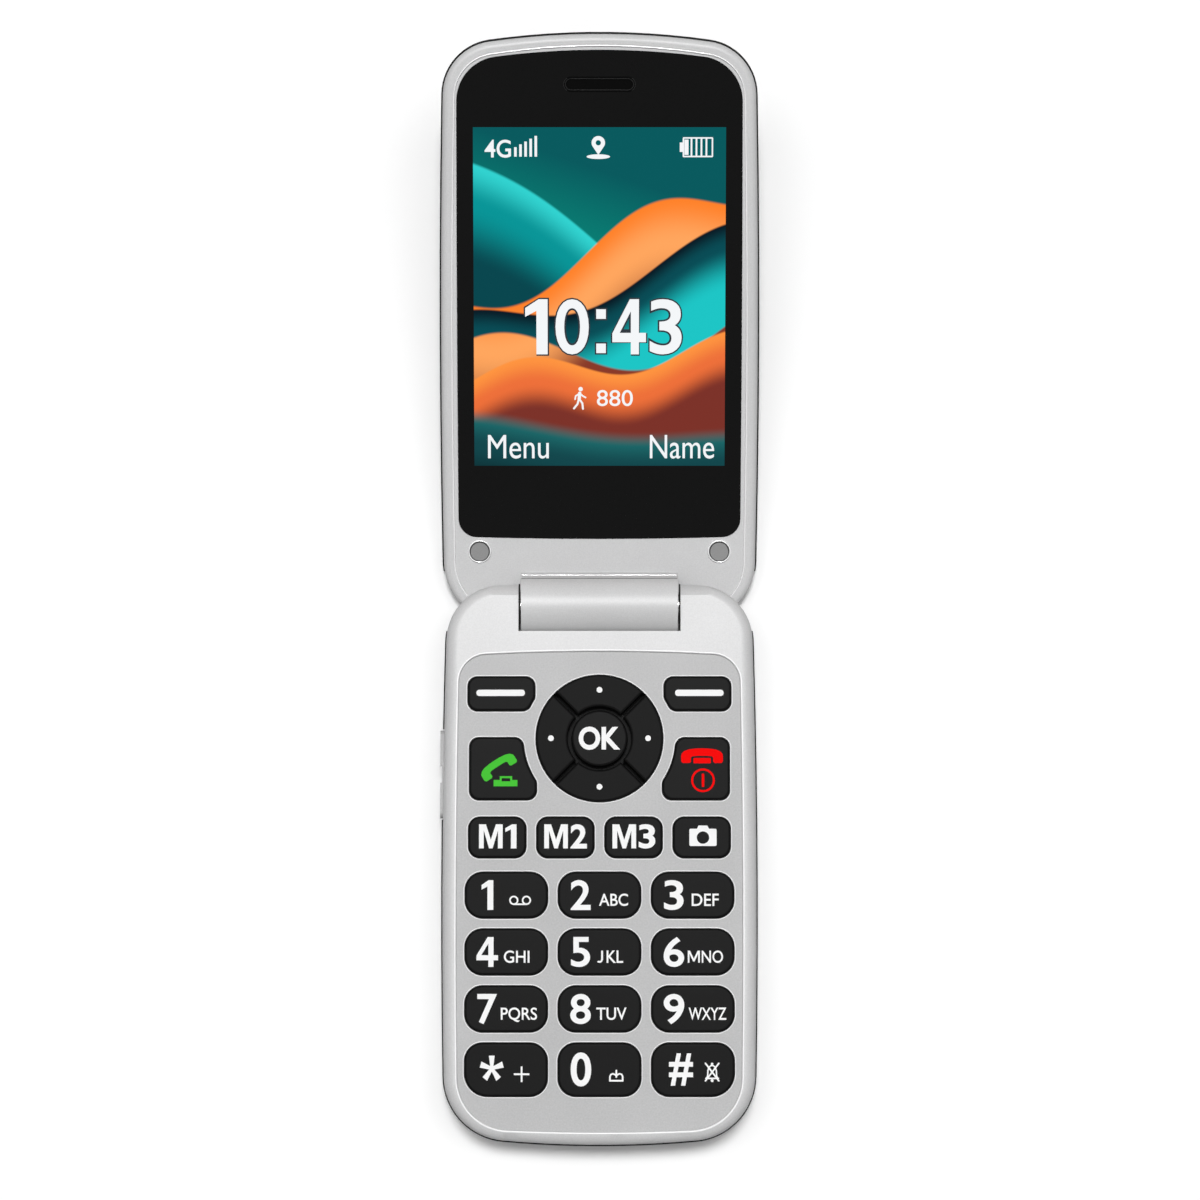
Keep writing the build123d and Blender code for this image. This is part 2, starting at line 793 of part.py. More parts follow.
def lid_front_frame():
    frame = lid_shell() - lid_rear_zone() - lid_cavity()
    frame -= slab(lid_plan(step_inset), lid_face - step_depth, lid_face + 1)
    barrel = axle(-barrel_half_length, barrel_half_length, barrel_radius)
    neck = block(-barrel_half_length, barrel_half_length, 0, neck_reach, lid_face - window_seat,
                 lid_face + neck_rise)
    frame += barrel + neck
    frame -= axle(-barrel_room, barrel_room, barrel_bore_radius)
    frame -= axle(-barrel_half_length - 1, 0, shaft_radius + running_gap)
    frame -= axle(0, barrel_half_length + 1, sleeve_radius + running_gap)
    frame -= flex_path(flex_gap)
    frame -= slab(window_plan(-plate_gap), lid_face - window_seat, lid_face + 1)
    frame -= panel_block(panel_gap, lid_face - lid_web_depth - 1, lid_face)
    frame -= ear_slot(ear_opening_margin, lid_face - lid_web_depth - 1, lid_face)
    for side in (-1, 1):
        frame -= disc(side * bumper_x, bumper_row, lid_face - bumper_depth, lid_face + 1, bumper_radius)
    for x, y, seat in lid_screw_seats():
        frame -= disc(x, y, seat - screw_head_height, lid_face, screw_head_radius + screw_hole_gap)
        frame -= disc(x, y, lid_back, lid_face, screw_radius + screw_hole_gap)
    return frame


def lid_rear_cover():
    cover = (lid_shell() & lid_rear_zone()) - lid_cavity()
    for side in (-1, 1):
        boss_top = lid_face - lid_web_depth - running_gap
        cover += disc(side * tip_screw_x, tip_screw_row, lid_back + lid_back_wall / 2, boss_top,
                      lid_boss_radius)
    for x, y, seat in lid_screw_seats():
        cover -= disc(x, y, seat - lid_screw_length - screw_hole_gap, lid_face, screw_radius + running_gap)
    for x, radius in ((0, lens_radius), (flash_x, flash_radius)):
        cover -= disc(x, camera_row, lid_back - 1, lid_back + 2 * lid_back_wall, radius + lens_gap)
    return cover


def screen_window():
    glass = slab(window_plan(), lid_face - window_seat, lid_face - window_sink)
    return glass - ear_slot(ear_ring_width + ear_slot_gap, -far, far)


def earpiece_mesh():
    top = lid_face - window_sink
    ring = ear_slot(ear_ring_width, lid_face - window_seat, top) - ear_slot(0, -far, far)
    return ring + ear_slot(0, top - ear_mesh_sink - ear_mesh_thickness, top - ear_mesh_sink)


def lid_board():
    top = lid_face - lid_board_depth
    board = block(-lid_board_half_width, lid_board_half_width, lid_board_bottom, lid_board_top,
                  top - lid_board_thickness, top)
    half = camera_width / 2 + window_gap
    return board - block(-half, half, camera_row - half, camera_row + half, -far, far)


def camera_module():
    half = camera_width / 2
    top = lid_back + lid_back_wall + running_gap + camera_height
    return block(-half, half, camera_row - half, camera_row + half, top - camera_height, top)


def camera_lens():
    lens = disc(0, camera_row, lid_back - lens_proud, lid_back - lens_proud + lens_thickness, lens_radius)
    return chamfer(lens.edges().group_by(Axis.Z)[0], lens_proud)


def flash_led():
    half = flash_base / 2
    top = lid_face - lid_board_depth - lid_board_thickness
    foot = block(flash_x - half, flash_x + half, camera_row - half, camera_row + half,
                 top - flash_base_height, top)
    return foot + disc(flash_x, camera_row, lid_back, top - flash_base_height, flash_radius)


def lid_magnet():
    half = magnet_size / 2
    top = lid_face - lid_board_depth - lid_board_thickness
    return block(magnet_x - half, magnet_x + half, magnet_row - half, magnet_row + half,
                 top - magnet_thickness, top)


def hinge_cartridge():
    """The spring cartridge, against the shaft in the left end of the barrel."""
    return axle(-barrel_room + running_gap, flex_start - cartridge_gap, barrel_bore_radius - running_gap)


def hinge_flex():
    roll = axle(flex_start, flex_start + flex_width, flex_roll_radius)
    roll -= axle(-far, far, flex_roll_radius - flex_thickness)
    return roll + flex_path(0)


# ---- assembly ----
base_parts = {
    "base_front_housing": base_front_housing(),
    "base_rear_housing": base_rear_housing(),
    "battery_cover": battery_cover(),
    "keypad_plate": keypad_plate(),
    "keymat": sheet(mat_bottom, mat_top),
    "dome_sheet": dome_sheet(),
    "main_board": sheet(board_bottom, board_top),
    "board_shield": board_shield(),
    "battery": battery(),
    "battery_contacts": battery_contacts(),
    "sim_socket": sim_socket(),
    "loudspeaker": block(speaker_centre_x - speaker_width / 2, speaker_centre_x + speaker_width / 2,
                         -inner_row - speaker_length / 2, -inner_row + speaker_length / 2,
                         floor_top, floor_top + speaker_height),
    "vibration_motor": disc(motor_centre_x, -inner_row, floor_top, floor_top + motor_height, motor_radius),
    "usb_port": usb_port(),
    "microphone": disc(mic_x, -mic_row, board_bottom - mic_height, board_bottom, mic_radius),
    "antenna": block(antenna_x - antenna_width / 2, antenna_x + antenna_width / 2,
                     -antenna_row - antenna_length / 2, -antenna_row + antenna_length / 2,
                     floor_top, floor_top + antenna_height),
    "hinge_pins": hinge_pins(),
    "base_screws": Compound([screw(x, y, seat_height, web_bottom - screw_tip_gap)
                             for x, y in base_screw_places]),
    "volume_rocker": volume_rocker(),
    **build_keys(),
}
backlight_top = lid_face - window_seat - running_gap - panel_thickness
lid_parts = {
    "lid_front_frame": lid_front_frame(),
    "lid_rear_cover": lid_rear_cover(),
    "screen_window": screen_window(),
    "lcd_panel": panel_block(0, backlight_top, backlight_top + panel_thickness),
    "backlight_frame": panel_block(backlight_border, backlight_top - backlight_thickness, backlight_top),
    "earpiece_mesh": earpiece_mesh(),
    "earpiece_receiver": block(-receiver_width / 2, receiver_width / 2,
                               ear_slot_row - receiver_length / 2, ear_slot_row + receiver_length / 2,
                               lid_face - lid_web_depth - receiver_height, lid_face - lid_web_depth),
    "lid_bumpers": Compound([disc(side * bumper_x, bumper_row, lid_face - bumper_depth,
                                  lid_face + bumper_proud, bumper_radius) for side in (-1, 1)]),
    "lid_screws": Compound([screw(x, y, seat, seat - lid_screw_length)
                            for x, y, seat in lid_screw_seats()]),
    "lid_board": lid_board(),
    "camera_module": camera_module(),
    "camera_lens": camera_lens(),
    "flash_led": flash_led(),
    "lid_magnet": lid_magnet(),
    "hinge_cartridge": hinge_cartridge(),
    "hinge_flex": hinge_flex(),
}
base_place = Pos(0, hinge_y, 0)
lid_place = Pos(0, hinge_y, hinge_z) * Rot(X=180 - open_angle)

os.makedirs("parts", exist_ok=True)
for node, shape in base_parts.items():
    export_step(base_place * shape, f"parts/{node}.step")
for node, shape in lid_parts.items():
    export_step(lid_place * shape, f"parts/{node}.step")
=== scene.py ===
"""Finishes, legends, display picture, floor, lights and camera of an open flip phone."""
import json
import math

import bmesh
import bpy
from mathutils import Matrix, Vector


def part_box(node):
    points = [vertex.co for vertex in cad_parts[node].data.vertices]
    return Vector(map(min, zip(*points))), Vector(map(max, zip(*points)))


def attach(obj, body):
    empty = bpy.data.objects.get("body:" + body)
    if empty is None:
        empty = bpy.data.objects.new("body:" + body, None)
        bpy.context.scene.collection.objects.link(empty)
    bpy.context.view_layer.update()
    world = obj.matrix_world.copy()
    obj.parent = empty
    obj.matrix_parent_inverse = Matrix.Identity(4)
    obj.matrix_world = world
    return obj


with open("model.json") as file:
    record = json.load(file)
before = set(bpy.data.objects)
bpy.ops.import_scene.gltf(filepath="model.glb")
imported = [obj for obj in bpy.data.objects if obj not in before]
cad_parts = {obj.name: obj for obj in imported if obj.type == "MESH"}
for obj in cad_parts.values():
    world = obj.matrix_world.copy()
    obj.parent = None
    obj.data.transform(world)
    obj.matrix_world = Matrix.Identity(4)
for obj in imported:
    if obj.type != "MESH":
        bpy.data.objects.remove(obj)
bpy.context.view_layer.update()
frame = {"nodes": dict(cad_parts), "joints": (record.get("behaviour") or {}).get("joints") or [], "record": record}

MM = 0.001
SKIN = 0.02 * MM  # thickness of print and of the picture
HAIR = 0.002 * MM  # step between overlapping parts of a print
KEY_SINK = 0.003 * MM  # how far print is let into a key
LID_SINK = 0.002 * MM  # how far print and picture are let into the window
nodes = frame["nodes"]
scene = bpy.context.scene
fold = next(joint for joint in frame["joints"] if joint["name"] == "lid_fold")
lid_rise = math.radians(180 - fold["range_deg"][1])
lid_matrix = Matrix.Translation(fold["pos_m"]) @ Matrix.Rotation(lid_rise, 4, "X")
lid_inverse = lid_matrix.inverted()


def lid_box(node):
    """Lowest and highest corners of a lid node in the lid's own frame.

    That frame has the hinge's axis at its origin, and its +Y points to the lid's tip."""
    points = [lid_inverse @ vertex.co for vertex in nodes[node].data.vertices]
    low = Vector([min(point[axis] for point in points) for axis in range(3)])
    return low, Vector([max(point[axis] for point in points) for axis in range(3)])


# ---- node helpers ----
def add(tree, kind, inputs=(), **settings):
    """A node of that kind, with its settings and its inputs: numbers, colours or sockets."""
    node = tree.nodes.new(kind)
    for key, value in settings.items():
        setattr(node, key, value)
    for key, value in dict(inputs).items():
        if isinstance(value, bpy.types.NodeSocket):
            tree.links.new(value, node.inputs[key])
        else:
            node.inputs[key].default_value = value
    return node


def maths(tree, operation, first, second=0.0):
    return add(tree, "ShaderNodeMath", {0: first, 1: second}, operation=operation).outputs[0]


def rgb(value, tint=(1, 1, 1)):
    return (value * tint[0], value * tint[1], value * tint[2], 1)


def ramp(tree, factor, stops, interpolation="LINEAR"):
    """The colour at factor between stops, which are pairs of a place and a colour."""
    node = add(tree, "ShaderNodeValToRGB", {"Fac": factor})
    node.color_ramp.interpolation = interpolation
    points = node.color_ramp.elements
    while len(points) < len(stops):
        points.new(0.5)
    for point, (place, colour) in zip(points, stops):
        point.position, point.color = place, colour
    return node.outputs["Color"]


# ---- finishes ----
BROAD_GRAIN = 60.0  # cycles per metre of the slow change of colour over a surface
FINE_SHARE = 0.7  # share of the fine grain in the colour, beside the broad one
NOISE_LOW, NOISE_HIGH = 0.3, 0.7  # levels of noise at which a finish has its two colours
COAT_ROUGH = 0.1
PIXEL_GRID = 7000.0  # checks per metre of the display
PIXEL_DIM = 0.93


def finish(name, low, high, rough, metal=0.0, grain=4000, rough_spread=0.05, bump=0.01, specular=0.5,
           coat=0.0, grazing=1.0, stretch=(1, 1, 1)):
    """A finish whose colour varies between low and high with a fine grain, with its bump and roughness.

    Grain is in cycles per metre, bump in millimetres, and grazing is how bright low reflections are."""
    material = bpy.data.materials.new(name)
    material.use_nodes = True
    tree = material.node_tree
    shader = tree.nodes["Principled BSDF"]
    place = add(tree, "ShaderNodeTexCoord").outputs["Object"]
    place = add(tree, "ShaderNodeMapping", {"Vector": place, "Scale": stretch}).outputs[0]
    fine = add(tree, "ShaderNodeTexNoise", {"Vector": place, "Scale": grain, "Detail": 3.0, "Roughness": 0.6})
    broad = add(tree, "ShaderNodeTexNoise", {"Vector": place, "Scale": BROAD_GRAIN, "Detail": 4.0})
    mixed = maths(tree, "ADD", maths(tree, "MULTIPLY", fine.outputs["Fac"], FINE_SHARE),
                  maths(tree, "MULTIPLY", broad.outputs["Fac"], 1 - FINE_SHARE))
    tree.links.new(ramp(tree, mixed, [(NOISE_LOW, low), (NOISE_HIGH, high)]), shader.inputs["Base Color"])
    spread = add(tree, "ShaderNodeMapRange",
                 {0: fine.outputs["Fac"], 3: rough - rough_spread, 4: rough + rough_spread})
    tree.links.new(spread.outputs[0], shader.inputs["Roughness"])
    relief = add(tree, "ShaderNodeBump",
                 {"Height": fine.outputs["Fac"], "Strength": 0.5, "Distance": bump * MM})
    tree.links.new(relief.outputs[0], shader.inputs["Normal"])
    shader.inputs["Metallic"].default_value = metal
    shader.inputs["Specular IOR Level"].default_value = specular
    shader.inputs["Specular Tint"].default_value = rgb(grazing)
    shader.inputs["Coat Weight"].default_value = coat
    shader.inputs["Coat Roughness"].default_value = COAT_ROUGH
    return material


def glow(name, colour):
    """Lit print on the display, with a faint grid of pixels."""
    material = finish(name, rgb(0.004), rgb(0.006), 0.2, specular=0.1)
    tree = material.node_tree
    shader = tree.nodes["Principled BSDF"]
    place = add(tree, "ShaderNodeTexCoord").outputs["Object"]
    dimmed = tuple(PIXEL_DIM * value for value in colour[:3]) + (1,)
    cells = add(tree, "ShaderNodeTexChecker",
                {"Vector": place, "Scale": PIXEL_GRID, "Color1": colour, "Color2": dimmed})
    tree.links.new(cells.outputs["Color"], shader.inputs["Emission Color"])
    shader.inputs["Emission Strength"].default_value = 1.0
    return material


cool = (0.995, 0.995, 1.0)
shell_paint = finish("satin_silver_paint", rgb(0.55, cool), rgb(0.65, cool), 0.42, metal=0.08, grain=4500,
                     bump=0.004, specular=0.12, grazing=0.3)
plate_paint = finish("fine_silver_plate", rgb(0.38, cool), rgb(0.475, cool), 0.50, metal=0.12, grain=3500,
                     bump=0.004, specular=0.12, grazing=0.3)
key_black = finish("satin_black_key", rgb(0.001), rgb(0.0035), 0.42, grain=11000, bump=0.006, specular=0.06)
nav_black = finish("soft_black_ring", rgb(0.002), rgb(0.004), 0.48, grain=11000, bump=0.006, specular=0.06)
glass_black = finish("black_window_glass", rgb(0.0018), rgb(0.0026), 0.06, grain=1500, rough_spread=0.01,
                     bump=0.0003, specular=0.08)
lens_black = finish("dark_lens", rgb(0.004), rgb(0.008), 0.05, rough_spread=0.01, bump=0.0003, specular=0.6)
rubber_grey = finish("grey_rubber", rgb(0.24), rgb(0.30), 0.62, grain=7000, bump=0.01, specular=0.25)
rubber_smoked = finish("smoked_rubber", rgb(0.006), rgb(0.012), 0.5, grain=3000, specular=0.1)
steel = finish("pressed_steel", rgb(0.50), rgb(0.60), 0.3, metal=1.0, stretch=(1, 12, 1), grain=900)
hinge_steel = finish("turned_steel", rgb(0.40), rgb(0.52), 0.25, metal=1.0, stretch=(14, 1, 1), grain=900)
mesh_metal = finish("dark_mesh", rgb(0.001), rgb(0.003), 0.5, grain=5000, specular=0.02)
# painted shade: a dark line round the earpiece's slot
slot_shade = finish("painted_slot_shade", rgb(0.02), rgb(0.035), 0.35, specular=0.1)
gold = finish("gold_contacts", rgb(1.0, (0.75, 0.5, 0.16)), rgb(1.0, (0.88, 0.62, 0.24)), 0.25, metal=1.0)
board_green = finish("green_solder_mask", (0.008, 0.09, 0.035, 1), (0.012, 0.14, 0.05, 1), 0.35, grain=900,
                     bump=0.02, coat=0.4)
battery_wrap = finish("battery_wrap", rgb(0.07), rgb(0.10), 0.45, grain=2500, bump=0.006)
plastic_black = finish("moulded_black", rgb(0.012), rgb(0.022), 0.5, grain=6000, bump=0.01, specular=0.35)
plastic_white = finish("moulded_white", rgb(0.72), rgb(0.80), 0.45, grain=6000, bump=0.006)
flex_amber = finish("amber_film", (0.42, 0.19, 0.03, 1), (0.52, 0.26, 0.05, 1), 0.3, grain=2500, coat=0.5)
print_white = finish("white_print", rgb(0.88), rgb(0.94), 0.5, grain=9000, bump=0.002, specular=0.1)
print_green = finish("green_print", (0.06, 0.52, 0.035, 1), (0.075, 0.58, 0.05, 1), 0.6, grain=9000,
                     bump=0.002, specular=0.02)
print_red = finish("red_print", (0.88, 0.002, 0.002, 1), (0.95, 0.004, 0.004, 1), 0.6, grain=9000,
                   bump=0.002, specular=0.02)
# painted shade: a dark line for the shaded crease under the hinge's ledge
ledge_shade = finish("painted_crease_shade", rgb(0.16, cool), rgb(0.22, cool), 0.5, grain=9000, specular=0.1)
# painted highlight: bright lines along the lid's face, round the bumpers and on the hinge's ledge
painted_highlight = finish("painted_highlight_bright", rgb(0.80, cool), rgb(0.88, cool), 0.22, metal=0.5, grain=6000, bump=0.002)
# painted highlight: soft bright lines round the key openings and the keypad plate
painted_highlight_soft = finish("soft_painted_highlight", rgb(0.70, cool), rgb(0.78, cool), 0.40, metal=0.15, grain=6000, bump=0.002)
# painted shade: dark lines in the gaps round the notch, the port and the bumpers, and along the parting lines,
# where they also mark the real joint
seam_and_shade_line = finish("dark_seam_and_painted_shade", rgb(0.008), rgb(0.016), 0.6, grain=9000, specular=0.1)
lit_white = glow("lit_white", (0.93, 0.95, 0.97, 1))
lit_shadow = glow("lit_outline", (0.02, 0.03, 0.04, 1))

by_slot = {
    "silver_shell": shell_paint, "silver_plate": plate_paint, "black_key": key_black,
    "black_glass": glass_black, "display_glass": lens_black, "lens_glass": lens_black,
    "clear_rubber": rubber_smoked, "grey_rubber": rubber_grey,
    "sheet_steel": steel, "hinge_steel": hinge_steel, "mesh_metal": mesh_metal,
    "contact_metal": gold, "circuit_board": board_green, "battery_case": battery_wrap,
    "black_plastic": plastic_black, "white_plastic": plastic_white, "flex_film": flex_amber,
}
for part in frame["record"]["subparts"]:
    piece = nodes[part["node"]]
    material = by_slot[part["material_slot"]]
    if part["node"].startswith("nav_") and part["node"] != "nav_ok":
        material = nav_black
    for slot in piece.material_slots:
        slot.material = material
    if not piece.material_slots:
        piece.data.materials.append(material)


# ---- pieces ----
BASELINE_DIP = 0.012  # how far round letters reach under the line, in the font's units


def keep_mesh(name, mesh, material, body, matrix):
    """Makes a piece of that mesh, placed by the matrix, that rides on the body."""
    mesh.name = name
    mesh.materials.clear()
    mesh.materials.append(material)
    piece = bpy.data.objects.new(name, mesh)
    piece.matrix_world = matrix
    scene.collection.objects.link(piece)
    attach(piece, body)


def baked(source):
    """The mesh of a curve or text object, which is then removed."""
    scene.collection.objects.link(source)
    bpy.context.view_layer.update()
    mesh = bpy.data.meshes.new_from_object(source.evaluated_get(bpy.context.evaluated_depsgraph_get()))
    data = source.data
    bpy.data.objects.remove(source)
    bpy.data.curves.remove(data)
    return mesh


def letters(words, width, height, weight):
    """Flat lettering as a mesh of exactly that width and height in metres, centred on the origin.

    A tail under the line, as in Q, is left out of the height."""
    data = bpy.data.curves.new("letters", "FONT")
    data.body = words
    data.offset = weight
    data.extrude = 0.01
    data.resolution_u = 6
    mesh = baked(bpy.data.objects.new("letters", data))
    low = [min(vertex.co[axis] for vertex in mesh.vertices) for axis in range(3)]
    high = [max(vertex.co[axis] for vertex in mesh.vertices) for axis in range(3)]
    low[1] = max(low[1], -weight - BASELINE_DIP)
    for axis, size in enumerate((width, height, SKIN)):
        for vertex in mesh.vertices:
            middle = (low[axis] + high[axis]) / 2
            vertex.co[axis] = (vertex.co[axis] - middle) * size / (high[axis] - low[axis])
    return mesh


def flat(*groups):
    """Flat print as a mesh, from groups of closed outlines in millimetres.

    An outline within another of its group is a hole. Each group lies a hair above the one before, so groups
    may overlap."""
    form = bmesh.new()
    for index, outlines in enumerate(groups):
        data = bpy.data.curves.new("flat", "CURVE")
        data.dimensions = "2D"
        data.fill_mode = "BOTH"
        data.extrude = SKIN / 2
        for outline in outlines:
            spline = data.splines.new("POLY")
            spline.points.add(len(outline) - 1)
            for point, (x, y) in zip(spline.points, outline):
                point.co = (x * MM, y * MM, 0, 1)
            spline.use_cyclic_u = True
        mesh = baked(bpy.data.objects.new("flat", data))
        mesh.transform(Matrix.Translation((0, 0, index * HAIR)))
        form.from_mesh(mesh)
        bpy.data.meshes.remove(mesh)
    mesh = bpy.data.meshes.new("flat")
    form.to_mesh(mesh)
    form.free()
    return mesh


def arc(x, y, radius, start=0.0, end=360.0, steps=40, squash=1.0):
    """Points along an arc, in degrees; a whole circle doesn't repeat its first point."""
    count = steps if abs(end - start) >= 360 else steps + 1
    angles = [math.radians(start + (end - start) * index / steps) for index in range(count)]
    return [(x + radius * math.cos(angle), y + radius * squash * math.sin(angle)) for angle in angles]


def box_outline(x, y, width, height, corner=0.0):
    """A rectangle centred on x, y, its corners rounded to that radius if there is one."""
    if corner <= 0:
        return [(x + i * width / 2, y + j * height / 2) for i, j in ((-1, -1), (1, -1), (1, 1), (-1, 1))]
    points = []
    for turn, (i, j) in enumerate(((1, 1), (-1, 1), (-1, -1), (1, -1))):
        points += arc(x + i * (width / 2 - corner), y + j * (height / 2 - corner), corner,
                      turn * 90, turn * 90 + 90, 8)
    return points


def stroke(points, width):
    """The closed outline of a line of that width with round ends."""
    ends = [], []
    for index, (x, y) in enumerate(points):
        before, after = points[max(index - 1, 0)], points[min(index + 1, len(points) - 1)]
        way = math.atan2(after[1] - before[1], after[0] - before[0])
        for side, turn in ((0, 90), (1, -90)):
            angle = way + math.radians(turn)
            ends[side].append((x + width / 2 * math.cos(angle), y + width / 2 * math.sin(angle)))
    (x0, y0), (x1, y1) = points[:2]
    start = math.degrees(math.atan2(y1 - y0, x1 - x0))
    (x2, y2), (x3, y3) = points[-2:]
    end = math.degrees(math.atan2(y3 - y2, x3 - x2))
    return (ends[1] + arc(x3, y3, width / 2, end - 90, end + 90, 8)[1:-1] + ends[0][::-1]
            + arc(x0, y0, width / 2, start + 90, start + 270, 8)[1:-1])


def turned(outline, degrees, x=0.0, y=0.0):
    """The outline turned about the origin, then moved by x and y."""
    c, s = math.cos(math.radians(degrees)), math.sin(math.radians(degrees))
    return [(x + c * px - s * py, y + s * px + c * py) for px, py in outline]


def glyph(outline, width, height):
    """A drawn letter of that width and height, centred on the origin."""
    return [((x - 0.5) * width, (y - 0.5) * height) for x, y in outline]


# ---- print on the keys, laid out in units of PX millimetres ----
PX = 0.171
DIGIT_X = -18.8
DIGIT_HEIGHTS = (29.6, 29.8)  # of a drawn digit and of one from the font
LETTERS_Y, LETTERS_HEIGHT, LETTERS_WEIGHT = -4.7, 12.3, 0.01
M_WIDTH, M_HEIGHTS, M_GAP = 23.6, (24.0, 24.3), 2.6
NAV_REACH = 48.6 * PX * MM  # from the middle of the disc to the dot on each arm

THIN_M = [(0, 0), (0, 1), (0.18, 1), (0.5, 0.34), (0.82, 1), (1, 1), (1, 0), (0.86, 0), (0.86, 0.74),
          (0.56, 0.1), (0.44, 0.1), (0.14, 0.74), (0.14, 0)]
BIG_M = [(0, 0), (0, 1), (0.29, 1), (0.5, 0.36), (0.71, 1), (1, 1), (1, 0), (0.8, 0), (0.8, 0.74),
         (0.575, 0), (0.425, 0), (0.2, 0.74), (0.2, 0)]
ONE = [(0.5, 0), (1, 0), (1, 1), (0.6, 1), (0, 0.84), (0, 0.68), (0.5, 0.79)]
FOUR = [(0.55, 0), (0.79, 0), (0.79, 0.22), (1, 0.22), (1, 0.39), (0.79, 0.39), (0.79, 1), (0.52, 1),
        (0, 0.38), (0, 0.22), (0.55, 0.22)]
FOUR_HOLE = [(0.55, 0.39), (0.55, 0.78), (0.22, 0.39)]
DRAWN = {"1": (ONE,), "4": (FOUR, FOUR_HOLE)}


def print_on(node, name, mesh, x, y, material):
    """Print on the top of a key, its centre at x and y in metres."""
    place = Matrix.Translation((x, y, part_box(node)[1].z + SKIN / 2 - KEY_SINK))
    keep_mesh(node + "_" + name, mesh, material, node, place)


def on_key(key, name, mesh, dx, dy, material):
    """Print on a key, its centre moved from the key's centre by layout units."""
    low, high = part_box(key)
    centre = (low + high) / 2
    print_on(key, name, mesh, centre.x + dx * PX * MM, centre.y + dy * PX * MM, material)


def key_words(key, name, words, dx, dy, width, height, weight):
    on_key(key, name, letters(words, width * PX * MM, height * PX * MM, weight), dx, dy, print_white)


def key_icon(key, name, groups, dx, dy, material=print_white):
    """Drawn print on a key, from groups of outlines in layout units."""
    mesh = flat(*([[(x * PX, y * PX) for x, y in outline] for outline in group] for group in groups))
    on_key(key, name, mesh, dx, dy, material)


def key_digit(key, digit, dx, dy, width, heights, weight):
    """A digit on a key, drawn if it has an outline of its own, or else from the font."""
    if digit in DRAWN:
        outlines = [glyph(outline, width, heights[0]) for outline in DRAWN[digit]]
        key_icon(key, "digit", [outlines], dx, dy)
    else:
        key_words(key, "digit", digit, dx, dy, width, heights[1], weight)


DIGITS = {  # the digit's width, its letters, and their offset and width
    "1": (11.7, "", 0, 0), "2": (20, "ABC", 14, 29), "3": (19.5, "DEF", 12.5, 27),
    "4": (21.5, "GHI", 10.5, 25.5), "5": (19, "JKL", 11, 25), "6": (20.5, "MNO", 12.5, 35),
    "7": (19.5, "PQRS", 12.8, 36), "8": (20.5, "TUV", 11.9, 30), "9": (20.5, "WXYZ", 14.5, 37.5),
}
for digit, (width, words, dx, span) in DIGITS.items():
    key = "key_" + digit
    key_digit(key, digit, DIGIT_X, 0, width, DIGIT_HEIGHTS, 0.016)
    if words == "JKL":
        hook = [(2.2, 5.2), (2.2, -2.6), (1.6, -4.4), (0.2, -5.2), (-1.6, -5.0)]
        key_icon(key, "first_letter", [[stroke(hook, 1.9)]], dx - 10.6, LETTERS_Y)
        words, dx, span = "KL", dx + 4.3, 16.4
    elif words == "MNO":
        key_icon(key, "first_letter", [[glyph(THIN_M, 12.0, 12.0)]], dx - 11.5, LETTERS_Y)
        words, dx, span = "NO", dx + 7.0, 21.2
    if words:
        key_words(key, "letters", words, dx, LETTERS_Y, span, LETTERS_HEIGHT, LETTERS_WEIGHT)
key_words("key_0", "digit", "0", -18.4, 0.3, 20.4, 33.7, 0.02)
key_words("key_hash", "sign", "#", -12, 1.7, 23.9, 28.9, 0.02)
key_icon("key_star", "plus", [[box_outline(0, 0, 15.4, 1.8)], [box_outline(0, 0, 1.8, 15.4)]], 15.6, -4.4)
for digit, dx, width in (("1", 0.6, 11.2), ("2", 0.2, 16.4), ("3", 0.3, 16.6)):
    key = "key_m" + digit
    span = M_WIDTH + M_GAP + width
    key_icon(key, "letter", [[glyph(BIG_M, M_WIDTH, M_HEIGHTS[0])]], dx - (span - M_WIDTH) / 2, 1)
    key_digit(key, digit, dx + (span - width) / 2, 1, width, M_HEIGHTS, 0.026)
key_words("nav_ok", "words", "OK", 0, 0, 41.6, 23.3, 0.034)

star = []
for index in range(5):
    star += turned([(1.7, 2.45), (3.0, 12.1), (-3.0, 12.1), (-1.7, 2.45)], 72 * index)
key_icon("key_star", "star", [[[(x * 0.96, y * 1.05) for x, y in star]]], -14, 1.2)
reels = [[arc(side * 6.3, 0, 4.6), arc(side * 6.3, 0, 3.0)] for side in (-1, 1)]
key_icon("key_1", "reels", reels + [[stroke([(-6.3, -3.9), (6.3, -3.9)], 1.6)]], 13.8, -5.2)
hump = [(6.3, -4.6), (6.3, -0.4), (5.4, 1.5), (3.5, 2.2), (1.5, 1.6), (0.2, 0.2)]
case = [hump, [(-x, y) for x, y in hump], [(-6.3, -4.6), (6.3, -4.6)], [(0, -1.0), (0, 5.4)]]
key_icon("key_0", "case", [[stroke(line, 1.7)] for line in case], 16.7, -6.2)
bell_side = [(5.6, -6.0), (4.4, -3.6), (4.2, 1.5), (3.2, 4.6), (1.2, 6.4)]
bell = [(-x, y) for x, y in bell_side] + bell_side[::-1]
silent = [stroke(bell, 1.4), stroke([(-6.2, -6.2), (6.2, -6.2)], 1.5), arc(0, -8.4, 1.5), arc(0, 8.0, 1.3),
          stroke([(-6.6, 8.6), (6.6, -8.6)], 1.6), stroke([(6.6, 8.6), (-6.6, -8.6)], 1.6)]
key_icon("key_hash", "silent", [[outline] for outline in silent], 18.9, -2.3)
key_icon("key_camera", "icon", [[box_outline(0, -1.6, 27.2, 17.2, 1.4), arc(0, -1.8, 6.2)],
                                [[(-6.2, 6.6), (-4.4, 10.2), (4.4, 10.2), (6.2, 6.6)]]], 1.2, 1.6)
for key, dx in (("key_soft_left", -0.7), ("key_soft_right", 1.8)):
    key_icon(key, "bar", [[box_outline(0, 0, 48.6, 6.3, 2.9)]], dx, 0.8)


